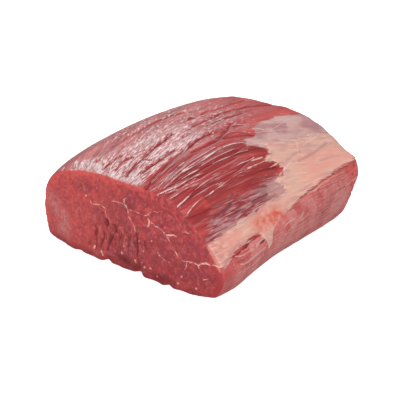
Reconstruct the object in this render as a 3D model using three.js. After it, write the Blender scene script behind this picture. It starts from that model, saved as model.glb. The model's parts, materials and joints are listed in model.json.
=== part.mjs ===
// A thick raw beef tenderloin steak, cut as one block from the trimmed loin.
// Its two ends are cut straight across the grain. The near end bellies out a little over the foot, where the soft
// meat sags into lobes. The top is a skin-side dome, with muscle bundles that fan from the near end towards the
// far right corner, and a thin sheet of fat over the right shoulder. The right side is a cut along the grain that
// leans out over the foot. The left flank is the muscle's own round side, lower towards the far end.
// Millimetres, +X across the grain, +Y along it, +Z up. The origin is the middle of the block's footprint.

import * as THREE from "three";
import { mergeVertices } from "three/addons/utils/BufferGeometryUtils.js";

// Size of the block
const LENGTH = 159;
const FOOT_LEFT = -75;
const FOOT_RIGHT = 75;

// Sizes that change along the grain: at the near end, halfway, and at the far end
const CREST_HEIGHT = [66, 72, 70];
const CREST_X = [9, 6, 2];
const LEFT_WALL_HEIGHT = [43, 46, 24];
const LEFT_SHOULDER_DROP = [2.5, 8, 12];
const LEFT_SHOULDER_POWER = [9, 11, 5];
const RIGHT_WALL_HEIGHT = [26, 34, 48];
const RIGHT_FALL_POWER = [2.3, 2.2, 2];
const RIGHT_OVERHANG = [6, 7, 9];
const LEFT_TAPER = [0, 0, 5];

// Roll of the top's edge at the two cut ends
const END_ROLL = 1.6;
const END_ROLL_REACH = 6;

// Roll back of the near cut's upper edge, which dies out at the left shoulder
const NEAR_LEAN = 6.2;
const NEAR_LEAN_FROM = 0.6;

// Cut ends: belly over the foot, and the lobes of the near end's lower edge
const NEAR_BELLY = 4.5;
const FAR_BELLY = 3.5;
const BELLY_HEIGHT_SHARE = 0.75;
const FAR_RIGHT_BEVEL = 5;
const FAR_RIGHT_BEVEL_POWER = 14;
const LOBE_WIDTH = 23;
const LOBE_NOTCH_X = 6;
const LOBE_SPACING_DRIFT = 0.9;
const LOBE_DEPTH = 2.6;
const LOBE_LIFT = 1.2;

// Rim of the underside, which curls up off the surface that the block lies on
const RIM_WIDTH = 9;
const RIM_LIFT = 1.4;
const CORNER_LIFT = 2.6;
const CORNER_REACH = 16;

// Hollow along the foot of the right side
const SIDE_RECESS = 5.5;
const SIDE_RECESS_AT = 0.5;
const SIDE_RECESS_SPREAD = 0.3;

// Muscle bundles under the skin of the dome
const BUNDLE_WIDTH = 16;
const BUNDLE_HEIGHT = 1;
const BUNDLE_FAN = 0.2;

// Sheet of fat over the right shoulder
const FAT_THICKNESS = 1.2;
const FAT_EDGE = 12;
const FAT_NEAR_X = 55;
const FAT_FAR_X = 8;

// Left flank: its bulge, and the crease where its two muscles meet
const FLANK_BULGE = 2.5;
const CREASE_HEIGHT_SHARE = 0.45;
const CREASE_DEPTH = 1.5;
const CREASE_SPREAD = 0.12;

// Grid of the surface, finer towards the block's edges
const COLUMNS = 44;
const ROWS = 36;
const LAYERS = 13;
const EDGE_CROWDING = 0.6;

const smoothstep = (from, to, value) => THREE.MathUtils.smoothstep(value, from, to);

// Value at a share of the length, on the smooth curve through a size's three stations.
function along(stations, share) {
  const [near, middle, far] = stations;
  const bend = 2 * (near + far - 2 * middle);
  return near + (far - near) * share + bend * share * (share - 1);
}

// A share of the way across, moved so that equal steps crowd towards both ends.
function crowded(share) {
  return share - (EDGE_CROWDING * Math.sin(2 * Math.PI * share)) / (2 * Math.PI);
}

// A slow wander between -1 and 1, the same for the same place.
function wander(a, b) {
  return (
    Math.sin(a * 1.7 + Math.sin(b * 1.3) * 1.9) * 0.5 +
    Math.sin(b * 2.3 + Math.sin(a * 0.9 + 1.7) * 2.1) * 0.3 +
    Math.sin((a + b) * 3.1 + 0.6) * 0.2
  );
}

// Height of the skin over the foot, without its relief.
function domeHeight(across, share) {
  const roll = Math.exp((-share * LENGTH) / END_ROLL_REACH) + Math.exp(((share - 1) * LENGTH) / END_ROLL_REACH);
  const crest = along(CREST_HEIGHT, share);
  const crestAt = ((along(CREST_X, share) - FOOT_LEFT) / (FOOT_RIGHT - FOOT_LEFT)) * 2 - 1;
  if (across < crestAt) {
    const reach = (crestAt - across) / (crestAt + 1);
    const shoulder = along(LEFT_SHOULDER_DROP, share);
    const turn = crest - along(LEFT_WALL_HEIGHT, share) - shoulder;
    return crest - END_ROLL * roll - shoulder * reach ** 2 - turn * reach ** along(LEFT_SHOULDER_POWER, share);
  }
  const reach = (across - crestAt) / (1 - crestAt);
  const drop = crest - along(RIGHT_WALL_HEIGHT, share);
  return crest - END_ROLL * roll - drop * reach ** along(RIGHT_FALL_POWER, share);
}

// The left flank's place, at a share of the wall's height.
function leftFlank(share, up) {
  const crease = Math.exp(-(((up - CREASE_HEIGHT_SHARE) / CREASE_SPREAD) ** 2));
  const bulge = FLANK_BULGE * Math.sin(Math.PI * up ** 1.5);
  return FOOT_LEFT + along(LEFT_TAPER, share) - bulge + CREASE_DEPTH * crease * smoothstep(0.05, 0.4, share);
}

// The trimmed right side, which leans out and then turns in under the fat.
function rightSide(share, up) {
  const recess = SIDE_RECESS * Math.exp(-(((share - SIDE_RECESS_AT) / SIDE_RECESS_SPREAD) ** 2));
  const lean = Math.sin((Math.PI / 2) * Math.min(up / 0.8, 1)) - 0.3 * smoothstep(0.8, 1, up);
  return FOOT_RIGHT - recess * (1 - up) ** 2 + along(RIGHT_OVERHANG, share) * lean;
}

// Notches between the lobes along a cut end's lower edge: 1 in a notch, 0 on a lobe.
function notch(x) {
  const drift = LOBE_SPACING_DRIFT * Math.sin(x / LOBE_WIDTH);
  const deep = 0.65 + 0.35 * wander(x / LOBE_WIDTH, 1);
  return deep * (1 - Math.abs(Math.sin((Math.PI * (x - LOBE_NOTCH_X)) / LOBE_WIDTH + drift)));
}

// The soft cut end bellies out low down, and is drawn back in the notches and at the corners.
function belly(depth, x, across, up) {
  const low = 1 - 0.85 * smoothstep(0.05, BELLY_HEIGHT_SHARE, up);
  const middle = 1 - across ** 4;
  return (depth * low - LOBE_DEPTH * notch(x) * (1 - smoothstep(0, 0.4, up))) * middle;
}

// How far the near cut's upper part lies back.
function lean(across, up) {
  const rise = smoothstep(NEAR_LEAN_FROM, 1.1, up);
  return NEAR_LEAN * rise * smoothstep(-0.85, -0.45, across) * (1 - 0.45 * smoothstep(0.35, 0.8, across));
}

// Rise of the underside's rim.
function rimLift(x, y, across, share) {
  const fromSide = Math.min(across + 1, 1 - across) * 0.5 * (FOOT_RIGHT - FOOT_LEFT);
  const fromEnd = Math.min(share, 1 - share) * LENGTH;
  const curl = (1 - smoothstep(0, RIM_WIDTH, Math.min(fromSide, fromEnd))) ** 2;
  const corner = Math.exp(-((fromSide / CORNER_REACH) ** 2) - (fromEnd / CORNER_REACH) ** 2);
  const uneven = 0.6 + 0.4 * wander(x / 13, y / 15);
  const atEnd = 1 - smoothstep(0, RIM_WIDTH, fromEnd);
  return curl * (RIM_LIFT * uneven + LOBE_LIFT * notch(x) * atEnd + CORNER_LIFT * corner);
}

// Furrows between the muscle bundles, which fan out from the near end.
function furrow(x, y) {
  const fanned = x - BUNDLE_FAN * y + 3.5 * Math.sin(y / 37 + x / 60);
  const phase = (2 * Math.PI * fanned) / BUNDLE_WIDTH + 0.8 * wander(x / 40, y / 60);
  return BUNDLE_HEIGHT * (0.5 - 0.5 * Math.cos(phase)) * (0.6 + 0.4 * wander(x / 22, y / 45));
}

// Thickness of the fat sheet, whose edge runs from the near right corner to the far end's middle.
function fat(x, y, share) {
  const edge = THREE.MathUtils.lerp(FAT_NEAR_X, FAT_FAR_X, smoothstep(0.05, 0.8, share));
  return FAT_THICKNESS * smoothstep(0, FAT_EDGE, x - edge - 5 * wander(x / 30, y / 18));
}

// The block's point for a point of the unit box: across and up the section, and along the grain.
function onBlock(across, share, up) {
  const x = THREE.MathUtils.lerp(leftFlank(share, up), rightSide(share, up), (across + 1) / 2);
  const near = lean(across, up) - belly(NEAR_BELLY, x, across, up);
  const bevel = FAR_RIGHT_BEVEL * Math.max(across, 0) ** FAR_RIGHT_BEVEL_POWER;
  const far = LENGTH + belly(FAR_BELLY, -x, across, up) - bevel;
  const y = THREE.MathUtils.lerp(near, far, share);
  const skin = domeHeight(across, share);
  const relief = (fat(x, y, share) - furrow(x, y)) * smoothstep(0.8, 1, up) * (1 - across ** 8);
  const foot = rimLift(x, y, across, share);
  return new THREE.Vector3(x, y, THREE.MathUtils.lerp(foot, skin, up) + relief);
}

function blockGeometry() {
  const box = new THREE.BoxGeometry(2, 1, 1, COLUMNS, ROWS, LAYERS);
  box.deleteAttribute("normal");
  box.deleteAttribute("uv");
  const geometry = mergeVertices(box);
  const position = geometry.getAttribute("position");
  for (let i = 0; i < position.count; i++) {
    const across = 2 * crowded((position.getX(i) + 1) / 2) - 1;
    const share = crowded(position.getY(i) + 0.5);
    const point = onBlock(across, share, position.getZ(i) + 0.5);
    position.setXYZ(i, point.x, point.y, point.z);
  }
  // The origin is the middle of the footprint, on the surface that the block lies on.
  geometry.computeBoundingBox();
  const { min, max } = geometry.boundingBox;
  geometry.translate(-(min.x + max.x) / 2, -(min.y + max.y) / 2, -min.z);
  geometry.computeVertexNormals();
  return geometry;
}

const rawBeef = new THREE.MeshStandardMaterial({ color: "#b0474a", roughness: 0.35, metalness: 0 });

const steak = new THREE.Group();
const block = new THREE.Mesh(blockGeometry(), rawBeef);
block.name = "tenderloin_block";
steak.add(block);

export default steak;
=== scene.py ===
"""Dresses the raw beef tenderloin block: fibres, marbling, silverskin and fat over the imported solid."""

import itertools
import json
import math

import bpy
import numpy as np
from bpy.props import FloatProperty, FloatVectorProperty, IntProperty, PointerProperty
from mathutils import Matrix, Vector
from mathutils.kdtree import KDTree

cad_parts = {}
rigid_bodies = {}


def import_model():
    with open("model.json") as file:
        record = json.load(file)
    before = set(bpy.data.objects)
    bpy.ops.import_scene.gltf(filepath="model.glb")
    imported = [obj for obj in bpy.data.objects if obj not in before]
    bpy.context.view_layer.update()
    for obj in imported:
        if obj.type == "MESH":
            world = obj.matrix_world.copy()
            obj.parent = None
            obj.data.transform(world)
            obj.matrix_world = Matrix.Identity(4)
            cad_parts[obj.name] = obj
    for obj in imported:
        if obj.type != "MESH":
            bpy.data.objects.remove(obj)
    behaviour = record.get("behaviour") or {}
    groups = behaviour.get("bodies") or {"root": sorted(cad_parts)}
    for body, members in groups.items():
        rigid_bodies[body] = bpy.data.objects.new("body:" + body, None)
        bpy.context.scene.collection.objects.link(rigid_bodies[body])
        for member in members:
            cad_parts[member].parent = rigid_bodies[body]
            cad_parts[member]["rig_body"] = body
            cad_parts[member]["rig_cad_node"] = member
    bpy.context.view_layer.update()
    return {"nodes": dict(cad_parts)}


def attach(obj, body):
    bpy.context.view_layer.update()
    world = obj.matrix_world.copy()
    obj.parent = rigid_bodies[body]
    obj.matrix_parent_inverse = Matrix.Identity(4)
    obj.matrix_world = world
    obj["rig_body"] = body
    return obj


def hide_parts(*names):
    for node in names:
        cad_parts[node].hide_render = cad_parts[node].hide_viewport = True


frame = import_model()
CAD_BLOCK = frame["nodes"]["tenderloin_block"]

bl_info = {
    "name": "Raw beef tenderloin block",
    "version": (1, 0, 0),
    "blender": (4, 5, 0),
    "location": "3D View > Sidebar > Beef",
    "description": "Builds the fibres, fat, silverskin and marbling of a raw tenderloin block",
    "category": "Object",
}

MM = 0.001
MOST_TRIANGLES = 190_000
FLAT_GROUND = 0.05  # Height in millimetres under which the underside counts as flat

# Camera: the direction that it looks from, its distance, what it stands over and points at, and its lens.
AZIMUTH = math.radians(37.45)
ELEVATION = math.radians(28.14)
CAMERA_DISTANCE = 1.5
CAMERA_TARGET = (-0.003, -0.001, 0.037)
CAMERA_AIM = (0.00155, -0.0054, 0.0253)
LENS = 188.6

# Lights: name, direction from the block, distance, sides and power.
LIGHTS = [
    ("back_window", (-0.66, 0.6, 0.455), 0.9, (0.3, 0.3), 1.6),
    ("top_softbox", (0.1, -0.2, 1.0), 1.0, (0.9, 0.9), 5.0),
    ("front_fill", (0.65, -0.9, 0.4), 1.1, (0.8, 0.6), 6.0),
]
ROOM_LIGHT = 0.36
FLOOR_GLOW = 0.85

# Height of the fat's lip on the trimmed side: place along the block, height.
LIP = [(-78, 27), (-60, 31), (-40, 33.5), (-30, 33.5), (5, 39), (30, 43), (62, 46), (80, 47.5)]

# Outlines on the skin, in millimetres, each point where it lies on the block.
FAT_OUTLINE = [
    (67, -92, 37), (75, -92, 26), (76, -74, 27), (75, -67, 29), (74, -62, 31), (72, -54, 33),
    (74, -45, 33), (73, -40, 34), (73, -32, 34), (76, -29, 28), (78, -27, 21), (78, -24, 25), (77, -21, 31),
    (76, -16, 34), (74, -4, 37), (74, 5, 39), (74, 13, 40), (74, 25, 42), (73, 36, 43), (74, 45, 44),
    (75, 56, 46), (76, 64, 46.5), (76, 74, 46.5), (74, 90, 49), (53, 90, 60), (47, 63, 63), (42, 47, 65),
    (38, 35, 67), (30, 24, 69), (36, 26, 68), (42, 25, 66), (43, 18, 64), (45, 9, 63), (50, 19, 61),
    (55, 21, 57), (59, 16, 54), (56, -4, 56), (60, 6, 53), (63, 12, 49), (65, 5, 47), (64, -4, 47),
    (64, -20, 46), (64, -36, 45), (64, -50, 44), (63, -60, 44), (62, -68, 44), (62, -77, 42),
]
SILVERSKIN_OUTLINE = [
    (70, 90, 50), (33, 90, 66), (28, 76, 68), (24, 68, 69), (19, 60, 71), (18, 52, 71), (16, 43, 72),
    (18, 33, 72), (24, 31, 71), (25, 25, 70), (22, 19, 71), (26, 14, 71), (33, 20, 69), (41, 26, 66),
    (52, 25, 60), (72, 40, 45),
]
CLOUDY_OUTLINE = [
    (68, 20, 46), (62, 22, 52), (57, 16, 56), (52, 6, 58), (54, -8, 56), (54, -20, 55), (51, -32, 56),
    (50, -46, 55), (51, -57, 54), (55, -66, 50), (59, -74, 45), (63, -84, 40), (66, -50, 40), (68, -20, 42),
]
# Where the wet membrane catches the light, which is painted there as glare, in the same way.
GLARE_OUTLINE = [
    (-58, -84, 55), (-56, -66, 62), (-48, -55, 67), (-44, -44, 68), (-39, -35, 68), (-37, -23, 69),
    (-38, -9, 70), (-34, 6, 70), (-19, 12, 71), (-7, 13, 72), (-2, 1, 71), (-3, -14, 71), (-1, -31, 70),
    (0, -47, 69), (0, -62, 67), (0, -84, 65), (-20, -90, 66), (-43, -86, 64),
]
# Grooves between the muscle bundles on top: depth in millimetres, then points across and along the block.
GROOVES = [
    (1.5, [(-15, -68), (-19, -54), (-18, -43), (-22, -29), (-22, -16), (-24, -5)]),
    (1.3, [(-8, -60), (-8, -44), (-8, -31), (-7, -24)]),
    (1.6, [(7, -74), (2, -57), (1, -44), (-1, -31), (-2, -15), (-3, 0), (-1, 11)]),
    (0.9, [(-35, -69), (-36, -55), (-35, -49)]),
    (0.9, [(-26, -66), (-28, -53), (-28, -46)]),
    (0.8, [(-19, -48), (-16, -44), (-12, -43)]),
    (1.1, [(10, -70), (11, -59), (10, -50), (10, -40)]),
    (1.0, [(18, -62), (19, -53), (19, -41), (20, -28)]),
    (1.1, [(27, -40), (29, -20), (31, -4)]),
    (1.2, [(5, -20), (8, -4), (10, 6), (6, 17), (2, 30)]),
    (0.9, [(11, 10), (17, 20), (24, 29)]),
    (1.2, [(22, -44), (23, -24), (27, -6), (27, 15), (35, 22)]),
    (1.0, [(35, -61), (36, -43), (38, -27), (40, -9), (38, 7)]),
    (0.8, [(-49, -42), (-49, 10), (-42, 31)]),
    (1.1, [(43, -78), (47, -63), (49, -45), (50, -30)]),
    (0.9, [(-19, 12), (-17, 27), (-14, 47), (-6, 63), (4, 78)]),
    (0.8, [(-28, 21), (-25, 37), (-21, 53), (-16, 72)]),
]
# Bundles of a deeper red between the ridges, as the grooves are written.
STRIPS = [
    (0.8, [(18, -56), (24, -30), (29, 5), (37, 22)]),
    (0.9, [(42, -52), (45, -25), (48, -5), (52, 16)]),
    (0.7, [(49, -78), (49, -58)]),
]
# Sharp wet ridges beside the grooves, painted with white glints: half width in millimetres, then points
# across and along the block.
RIDGES = [
    (0.4, [(14, -69), (11, -57), (9, -45), (9, -33)]),
    (0.25, [(15.5, -69), (14, -57), (13, -45), (13, -34)]),
    (0.35, [(17, -66), (16, -52), (16, -38)]),
    (0.6, [(17, -75), (23, -59), (24, -45), (26, -34)]),
    (0.35, [(21, -70), (26, -58), (28, -46)]),
    (0.35, [(27, -72), (28, -62), (29, -52)]),
    (0.25, [(25, -62), (26, -50), (26, -42)]),
    (0.4, [(34, -73), (34, -64), (33, -54)]),
    (0.15, [(33, -52), (33, -43), (34, -30)]),
    (0.22, [(42, -72), (40, -59), (41, -47)]),
    (0.4, [(41, -48), (41, -41)]),
    (0.45, [(15, -43), (16, -22), (18, 1), (21, 11), (29, 17)]),
    (0.4, [(16, -48), (18, -30), (18, -14), (17, -1)]),
    (0.3, [(20, -50), (21, -40), (22, -32)]),
    (0.3, [(12, -38), (13, -20), (14, -4)]),
    (0.35, [(4, -64), (2, -52), (1, -38), (-1, -22), (-3, -13)]),
    (0.25, [(6, -66), (5, -52), (4, -38)]),
    (0.35, [(7, -15), (9, -4), (10, 5), (8, 15), (10, 23), (21, 28)]),
    (0.2, [(21, -30), (22, -12), (25, 4)]),
    (0.25, [(24, -20), (27, -4), (32, 10)]),
    (0.2, [(34, -30), (37, -7), (39, 8)]),
    (0.5, [(-8, -4), (-12, 11), (-4, 10)]),
    (0.45, [(-36, 20), (-31, 24), (-23, 32)]),
    (0.3, [(-39, 29), (-37, 34), (-34, 42)]),
    (0.3, [(3, 27), (7, 34), (13, 38)]),
    (0.25, [(-12, 18), (-9, 36), (-3, 50)]),
    (0.25, [(60, -50), (60, -46)]),
    (0.25, [(58, -40), (58, -36)]),
]
# Dark clefts in the cloudy band beside the fat, as the grooves are written.
CLEFTS = [
    (1.0, [(59, -70), (59, -62), (60, -57)]),
    (1.1, [(54, -59), (54, -52), (54, -45), (54, -38)]),
    (1.2, [(60, -48), (60, -41), (59, -36), (61, -30)]),
    (1.1, [(60, -22), (61, -13), (61, -6)]),
    (0.9, [(63, -15), (64, -8), (64, 0)]),
    (0.9, [(54, -14), (57, -2)]),
]
# Creases in the fat and the silverskin, as the grooves are written.
CREASES = [
    (0.5, [(57, 36), (58, 44), (59, 52), (59, 61), (59, 69)]),
    (0.35, [(53, 27), (52, 37), (53, 45)]),
    (0.4, [(49, 71), (51, 75), (53, 80)]),
    (0.3, [(44, 50), (42, 56)]),
    (0.25, [(65, 52), (67, 62), (70, 70)]),
]
# Pale wisps lying over the fat and the silverskin, as the ridges are written.
WISPS = [
    (0.35, [(49, 42), (53, 42), (57, 43)]),
    (0.3, [(51, 50), (51, 63), (51, 70)]),
    (0.35, [(60, 1), (57, 13), (55, 30)]),
    (0.4, [(44, 50), (50, 45), (54, 40)]),
    (0.3, [(27, 43), (29, 51), (28, 60), (30, 66)]),
    (0.25, [(34, 36), (41, 43), (47, 52)]),
    (0.25, [(20, 46), (24, 58), (32, 72)]),
]
# Seams of fat in the near cut face, as points across and up it, with the width of each in millimetres.
NEAR_SEAMS = [
    (0.45, [(-39, 44.5), (-36, 41.5), (-31, 43), (-27.5, 43.5), (-25, 42)]),
    (0.15, [(-25, 42), (-22, 37), (-20, 33)]),
    (0.3, [(-20, 49), (-17, 49.5), (-12, 49.5)]),
    (0.6, [(-12, 49.5), (-8.5, 49.5), (-5.5, 48), (-4, 44)]),
    (0.3, [(-4, 44), (-1, 40), (4, 33.5)]),
    (0.35, [(-9, 50), (-9.5, 53.5), (-8, 55)]),
    (0.1, [(-8, 55), (-5.5, 57), (-2.5, 57.5)]),
    (0.2, [(-4, 48), (5, 48), (11, 47.5)]),
    (0.65, [(11.5, 47.5), (13, 46), (14.5, 44), (13.5, 41)]),
    (0.25, [(12, 48), (13, 50), (16, 52), (20, 53.5)]),
    (0.1, [(20, 53.5), (26, 55), (34, 52), (41, 45)]),
    (0.4, [(14.5, 44), (19, 43.5), (25, 42), (29.5, 40)]),
    (0.6, [(29.5, 40), (32.5, 40.5), (38, 41.5)]),
    (0.25, [(38, 42), (41, 45), (47, 46)]),
    (0.3, [(29.5, 40), (32, 35.5), (37, 31), (41.5, 26)]),
    (0.4, [(41.5, 26), (45, 25.5), (53, 26)]),
    (0.6, [(53, 26), (57, 25.5), (61, 28.5), (65, 29), (67.5, 27.5)]),
    (0.45, [(67, 28), (69, 29.5), (74, 27.5)]),
    (0.4, [(57, 26), (57.5, 23.5)]),
    (0.3, [(62, 15.7), (64, 17), (66, 18)]),
    (0.12, [(23, 25), (25, 22.5), (31, 20)]),
    (0.1, [(48, 25), (47, 18), (44, 13)]),
]
FAR_SEAMS = [
    (0.5, [(-52, 44), (-44, 40), (-40, 44), (-31, 43)]),
    (0.6, [(-14, 56), (-12, 48), (-4, 44), (5, 45), (9, 41)]),
    (0.3, [(9, 41), (14, 34), (22, 31)]),
    (0.5, [(28, 52), (33, 45), (42, 44), (48, 39)]),
    (0.35, [(33, 45), (30, 38)]),
    (0.4, [(50, 28), (57, 30), (64, 27)]),
]
# Torn folds in the near cut face, as the grooves are written, but across and up the face.
FOLDS = [
    (1.9, [(-23, 34), (-22.5, 30)]),
    (1.7, [(-17, 32), (-15.5, 28)]),
    (0.9, [(-33, 27), (-30, 22), (-32, 10)]),
    (1.1, [(-24, 24), (-24.5, 21), (-27, 11)]),
    (0.6, [(-37, 14), (-37.5, 10)]),
    (1.2, [(-17.5, 24), (-19, 18), (-21, 11)]),
    (1.3, [(4, 33), (6, 25), (5, 15)]),
    (0.9, [(-4, 28), (-2, 21)]),
    (0.7, [(11, 29), (14, 23)]),
    (0.9, [(-14, 10), (-9, 9), (-2, 8)]),
    (0.8, [(7, 14), (8, 6)]),
    (0.7, [(-10, 25), (-11, 20)]),
]
# Deep spots in those folds: across, up, radius.
TORN_SPOTS = [
    (-22.6, 31.5, 1.5), (-15.5, 29.5, 1.6), (-19, 21, 1.3), (-26, 17, 1.1), (-32, 21, 1.2), (4.5, 24, 1.2),
]
# Thin red lines between the bundles of the cut, as the seams are written.
RED_LINES = [
    (0.5, [(-4, 45), (0, 38), (4, 33)]),
    (0.4, [(31, 39), (37, 31), (43, 26)]),
    (0.4, [(-25, 41), (-22, 36), (-24, 30)]),
    (0.35, [(22, 57), (31, 57), (38, 51)]),
]
# Where the soft block bulges or is drawn in: middle, reach and move in millimetres.
PUSHES = [
    ((80, 80, 46), (8, 10, 8), (2.6, 2.3, 1.2)),
    ((81, 80, 36), (7, 9, 7), (1.6, 1.2, 0)),
    ((-77, -62, 50), (14, 45, 13), (-1.3, 0, 1.1)),
    ((-79, -76, 22), (7, 20, 22), (-1.2, 0, 0)),
    ((-40, 10, 68), (26, 50, 16), (0, 0, -0.6)),
    ((38, 80, 68), (26, 24, 16), (0, 1.3, 1.7)),
    ((66, 84, 54), (9, 12, 7), (-0.9, -0.7, -0.6)),
    ((-8, -75, 64), (45, 5, 7), (0, 0, 0.9)),
    ((-80, -84, 3), (5, 8, 5), (1.8, 0, 1.0)),
    ((-79, -80, 32), (4, 8, 4), (0.7, 0, 0)),
    ((-22, -84, 2), (3.0, 7, 6), (0, 2.2, 1.5)),
    ((7, -84, 2), (3.2, 7, 6), (0, 2.4, 1.6)),
    ((33, -84, 2), (3.0, 6, 5), (0, 1.8, 1.3)),
    ((-47, -84, 2), (3.5, 6, 5), (0, 1.4, 0.8)),
    ((-8, -84, 2), (9, 6, 9), (0, 1.6, 0)),
    ((76, 20, 0), (9, 45, 7), (-1.0, 0, 0.5)),
    ((77, -60, 0), (8, 22, 8), (-1.3, 0, 0)),
]
# Pale lines on the trimmed side, some of them painted glints, as points along and up it, with the width of
# each in millimetres.
SIDE_SEAMS_AND_GLINTS = [
    (0.35, [(-61, 30), (-54, 28), (-44, 29)]),
    (0.5, [(-59, 24), (-53, 22), (-41, 24), (-31, 25)]),
    (0.45, [(-40, 29), (-31, 31)]),
    (0.3, [(-61, 18), (-47, 17), (-39, 18), (-32, 20)]),
    (0.3, [(-7, 31), (-2, 32), (6, 32)]),
    (0.35, [(-5, 26), (0, 27), (6, 28), (14, 33)]),
    (0.3, [(29, 19), (37, 21)]),
    (0.3, [(11, 28), (17, 29)]),
    (0.35, [(64, 33), (69, 34), (75, 36)]),
]
# Soft pale curtains on the same side, written in the same way.
CURTAINS = [
    (1.2, [(45, 41), (45, 36), (42, 30)]),
    (1.0, [(59, 36), (60, 30), (58, 22)]),
    (0.9, [(32, 40), (28, 37), (28, 31)]),
    (0.9, [(15, 38), (12, 30), (14, 24)]),
    (1.0, [(-7, 36), (-11, 26)]),
]
# Thin flap that hangs below the lip: place along the block, height of its lower edge.
FLAP = [(22, 43), (24, 41), (33, 41), (39, 42.5), (46, 43), (58, 45), (62, 46.5), (64, 49)]
# Hollows below the fat's lip, painted dark with shade, the last two being the painted shadow under the flap:
# place along, height, half length, half height, depth in millimetres.
SHADED_POCKETS = [
    (-37, 34, 5, 1.3, 1.8), (-48.5, 32, 4.5, 1.2, 1.6), (-57, 31, 4, 1.0, 0.9), (-33, 29.5, 3.5, 0.6, 0.6),
    (32, 42.8, 4.5, 0.6, 0.9), (52, 45.3, 4.5, 0.6, 0.8),
]
# Shreds of membrane along the torn edge of the fat, as the ridges are written.
SHREDS = [
    (0.2, [(41, -40), (41, -20), (43, -6)]),
    (0.4, [(43, -6), (44, 2), (45, 12)]),
    (0.3, [(40, 4), (42, 14)]),
    (0.35, [(44, 21), (46, 12)]),
    (0.35, [(51, 20), (50, 12)]),
    (0.3, [(56, 22), (57, 14)]),
    (0.25, [(18, 34), (21, 37), (25, 39)]),
    (0.3, [(31, 22), (35, 25)]),
]
# Muscle bundles that the cut shows darker: across, up, half width, half height.
NEAR_BUNDLES = [
    (1, 58, 10, 6), (27, 51, 11, 7), (54, 35.5, 14, 6.5), (-45, 52, 10, 5), (60, 17, 12, 7), (-28, 36, 9, 6),
    (40, 28, 30, 16),
]
FAR_BUNDLES = [(-30, 52, 12, 7), (8, 56, 10, 7), (40, 52, 10, 7), (-10, 24, 14, 9), (40, 24, 12, 9)]
# Painted shade on the lobes at the near cut's foot: across, up, half width, half height.
FOOT_LOBE_SHADE = [(-5, 8, 8, 5.5), (4, 6, 6, 5.5), (27, 5, 12, 5.5)]
# Wet film with a painted glare at the near cut's left end, as the seams are written.
FACE_FILM_GLARE = [(1, [(-77, 34), (-68, 27), (-60, 21), (-62, 13)])]
# Red patches in the fat by the lip: strength, middle along, half length, middle and half width across.
BLUSHES = [(1.1, -10, 8, 0, 5), (0.9, -26, 10, -1, 5)]
# Specks of fat in the near cut: across, up, radius.
FLECKS = [
    (-42.7, 46, 0.6), (-33.8, 53.5, 0.5), (-38.4, 33.8, 0.5), (-25.8, 9, 0.9), (-25, 6.5, 0.8),
    (-32.8, 9.7, 0.8), (-8.5, 13.3, 0.9), (-6.2, 19, 0.5), (3.9, 11.6, 0.8), (4.9, 10, 0.6), (12.6, 9.3, 0.7),
    (17.9, 10.3, 0.8),
    (17.5, 31, 0.6), (25, 22.7, 0.6), (7, 28, 0.5), (10.8, 21.3, 0.5), (24.2, 6.4, 0.8), (41.2, 7, 0.8),
    (44, 13, 0.6), (33.8, 19.7, 0.5), (57, 8, 0.8), (-60, 24, 0.5),
]

# Waves in the relief: height, size in the first and the second direction, number of the pattern.
WAVES = {
    "ragged_edge": (0.9, 4, 6, 3),
    "torn_edge": (0.5, 1.6, 2.6, 2),
    "wispy_edge": (1, 2.2, 17, 1),
    "fibre_sway": (1.2, 16, 45, 4),
    "strands": (1, 2.9, 60, 6),
    "line_sway": (0.5, 9, 11, 19),
    "groove_width": (0.15, 3, 7, 29),
    "ridge_width": (0.15, 5, 9, 20),
    "wet_edge": (3, 3, 14, 7),
    "cover_folds": (0.3, 9, 14, 9),
    "cover_wrinkles": (0.1, 3, 8, 10),
    "flap_edge": (0.4, 2.5, 2, 26),
    "side_swell": (0.3, 12, 7, 11),
    "side_fibres": (0.12, 1.8, 14, 0),
    "pocket_edge": (0.3, 2, 2, 30),
    "side_seam_width": (0.25, 2.5, 2.5, 18),
    "curtain_sway": (0.8, 4, 4, 27),
    "bevel_pits": (1, 2.2, 2.8, 21),
    "seam_sway": (0.7, 2.2, 2.2, 22),
    "seam_lift": (0.7, 2.2, 2.2, 23),
    "seam_width": (0.3, 2.6, 2.6, 12),
    "fold_sway": (0.8, 5, 5, 14),
    "foot_edge": (1.5, 6, 5, 28),
    "shred_width": (0.3, 2, 3, 24),
}
# Parts of the surface: in each direction, the place where the part starts and the one where it is full.
ZONES = {
    "top": [("z", 45, 52)],
    "dome": [("z", 36, 50)],
    "upper_dome": [("z", 50, 64), ("y", -55, -10)],
    "near_part": [("y", 10, -5)],
    "near_end": [("y", -50, -76)],
    "before_far_end": [("y", 60, 40)],
    "far_half": [("y", 5, 40)],
    "far_top": [("y", 8, 45)],
    "left_edge": [("x", -52, -66)],
    "shoulder": [("x", 64, 70)],
    "side_wall": [("x", 62, 68)],
    "silver_to_fat": [("y", 24, 34), ("x", 66, 58)],
    "ridged": [("x", 4, 12), ("x", 46, 36), ("y", -12, -35)],
    "dappled": [("y", -72, -38)],
    "dappled_left": [("x", -8, -28)],
    "dappled_far": [("y", -15, 15)],
    "front_glare_zone": [("y", -60, -75), ("x", -64, -52), ("x", 2, -10)],
    "pale_end": [("y", -22, 8), ("x", 54, 59)],
    "warm_fat": [("y", 20, 55)],
    "clean_lip": [("x", 65, 70), ("y", -55, -40)],
    "bevel": [("x", 66, 72), ("z", 51, 48)],
    "far_foot": [("z", 30, 6)],
    "near_foot": [("z", 15, 5)],
    "right_rim": [("x", 60, 72)],
    "right_edge": [("x", 64, 72)],
    "wide_rim": [("x", 14, 32)],
    "thin_rim": [("x", 16, 4)],
    "shaded_right": [("x", 8, 45), ("z", 32, 14)],
    "fresh_left": [("x", 0, -42)],
    "fat_in_cut": [("x", 60, 64), ("z", 24, 27)],
}

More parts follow.
